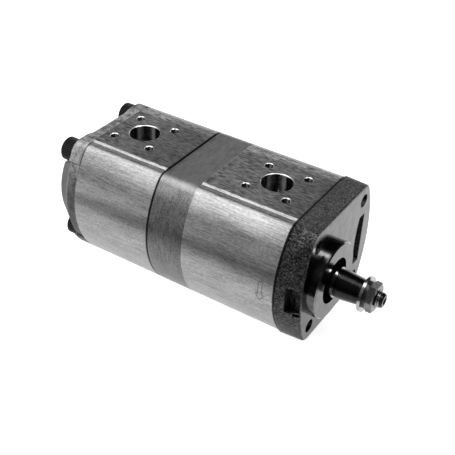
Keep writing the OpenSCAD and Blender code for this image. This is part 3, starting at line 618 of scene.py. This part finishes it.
# %% Drive shaft
JOURNAL_END = 9.5 * MM
black = Finish("black_oiled_shaft")
black.shader.inputs["Coat Weight"].default_value = 0.15
black.shader.inputs["Coat Roughness"].default_value = 0.25
turned = black.grain(0.7 * MM, (1, 14, 14))
inside = black.rise(black.x, JOURNAL_END + 0.2 * MM, JOURNAL_END)
shaft_grey = (0.006 + 0.014 * turned) * (1 - inside) + 0.22 * inside
shaft_rough = (0.14 + 0.10 * turned) * (1 - inside) + 0.13 * inside
dress(["drive_shaft"], black.paint(shaft_grey, shaft_rough, turned, FINE_DEPTH))

# %% [markdown]
# The free end of the shaft carries a thread. As a bump it would have a smooth outline, so it
# is a real ridge. A lathe cuts it by feeding a pointed tool along while the work turns. The
# spin operator does the same with a small move per step, so a profile of four points is all
# that has to be given.

# %% Shaft thread
NUT_END, SHAFT_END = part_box("shaft_nut")[1].x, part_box("drive_shaft")[1].x
THREAD_R, THREAD_PITCH, THREAD_DEPTH = 5.0 * MM, 1.25 * MM, 0.42 * MM
CREST_HALF, FOOT_HALF, CREST_DROP = 0.10, 0.48, 0.02 * MM
THREAD_STEPS = 36
BARE_END = 0.9 * MM

def thread(name, start_x, turns):
    """A V-shaped ridge wound round the shaft's axis; its halves are shares of the pitch."""
    ridge = bmesh.new()
    crest, foot = THREAD_R - CREST_DROP, THREAD_R - THREAD_DEPTH
    profile = [(-FOOT_HALF, foot), (-CREST_HALF, crest), (CREST_HALF, crest), (FOOT_HALF, foot)]
    corners = [ridge.verts.new((start_x + share * THREAD_PITCH, 0, r)) for share, r in profile]
    edges = [ridge.edges.new(pair) for pair in zip(corners, corners[1:])]
    bmesh.ops.spin(ridge, geom=corners + edges, cent=(0, 0, 0), axis=(1, 0, 0),
                   dvec=(THREAD_PITCH / THREAD_STEPS, 0, 0), angle=2 * pi * turns,
                   steps=int(THREAD_STEPS * turns), use_merge=False)
    bmesh.ops.remove_doubles(ridge, verts=ridge.verts, dist=0.001 * MM)
    return linked(name, ridge)

free_length = SHAFT_END - BARE_END - NUT_END
turns = (free_length - THREAD_PITCH) / THREAD_PITCH
shaft_thread = thread("shaft_thread", NUT_END + 0.5 * THREAD_PITCH, turns)
shaft_thread.data.materials.append(fine_metal("cut_thread_steel", 0.20, 0.30, 0.3))
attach(shaft_thread, "drive_train")
print("thread", round(free_length / MM, 2), "mm long")

# %% [markdown]
# An outlined arrow on the near side shows which way the drive shaft turns. A boolean cut
# would need a deep cutter on a curved side, and a bump has no edge. So it is a narrow band
# laid on the side: each point of the outline is dropped onto the housing along +Y, and the
# band is built half its width to either side of that line.

# %% Arrow outline
ARROW_X, ARROW_WIDTH, ARROW_LIFT = -25.5 * MM, 0.5 * MM, 0.04 * MM
ARROW_TOP, ARROW_NECK, ARROW_TIP = 5.7 * MM, -3.6 * MM, -7.9 * MM
STEM_HALF, HEAD_HALF = 1.35 * MM, 2.9 * MM
BAND_STEPS = 8
outline = [(-STEM_HALF, ARROW_TOP), (STEM_HALF, ARROW_TOP),
           (STEM_HALF, ARROW_NECK), (HEAD_HALF, ARROW_NECK), (0, ARROW_TIP),
           (-HEAD_HALF, ARROW_NECK), (-STEM_HALF, ARROW_NECK)]

def offset_ring(flat, centre, shift):
    """The closed outline moved sideways by shift, with its corners mitred."""
    ring = []
    for before, here, after in zip(flat[-1:] + flat[:-1], flat, flat[1:] + flat[:1]):
        first = (here - before).normalized().orthogonal()
        second = (after - here).normalized().orthogonal()
        ring.append(centre + here + (first + second) / (1 + first.dot(second)) * shift)
    return ring

flat_outline = [Vector(corner) for corner in outline]
arrow_place = Vector((ARROW_X, 0))
band_rings = [offset_ring(flat_outline, arrow_place, side * ARROW_WIDTH / 2) for side in (-1, 1)]
print("arrow of", len(outline), "corners")

# %% [markdown]
# A ray cast finds the housing's surface under each point. Every straight stretch is cut into
# a few steps first, so that the band follows the curve of the side.

# %% Rotation arrow
def on_side(x, z):
    """The point x, z of a front view, lifted a little off the housing's near side."""
    _, place, normal, _ = nodes["front_housing"].ray_cast(Vector((x, -1, z)), Vector((0, 1, 0)))
    return place + normal * ARROW_LIFT

band = bmesh.new()
rows = []
for i in range(len(outline)):
    j = (i + 1) % len(outline)
    for share in [k / BAND_STEPS for k in range(BAND_STEPS)]:
        rows.append([band.verts.new(on_side(*ring[i].lerp(ring[j], share))) for ring in band_rings])
for row, after in zip(rows, rows[1:] + rows[:1]):
    band.faces.new((row[0], row[1], after[1], after[0]))
bmesh.ops.recalc_face_normals(band, faces=band.faces)
arrow = linked("rotation_arrow", band)
arrow.data.materials.append(fine_metal("pressed_mark", 0.10, 0.45, 0.5))
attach(arrow, "pump_body")
print("arrow of", len(arrow.data.polygons), "faces")
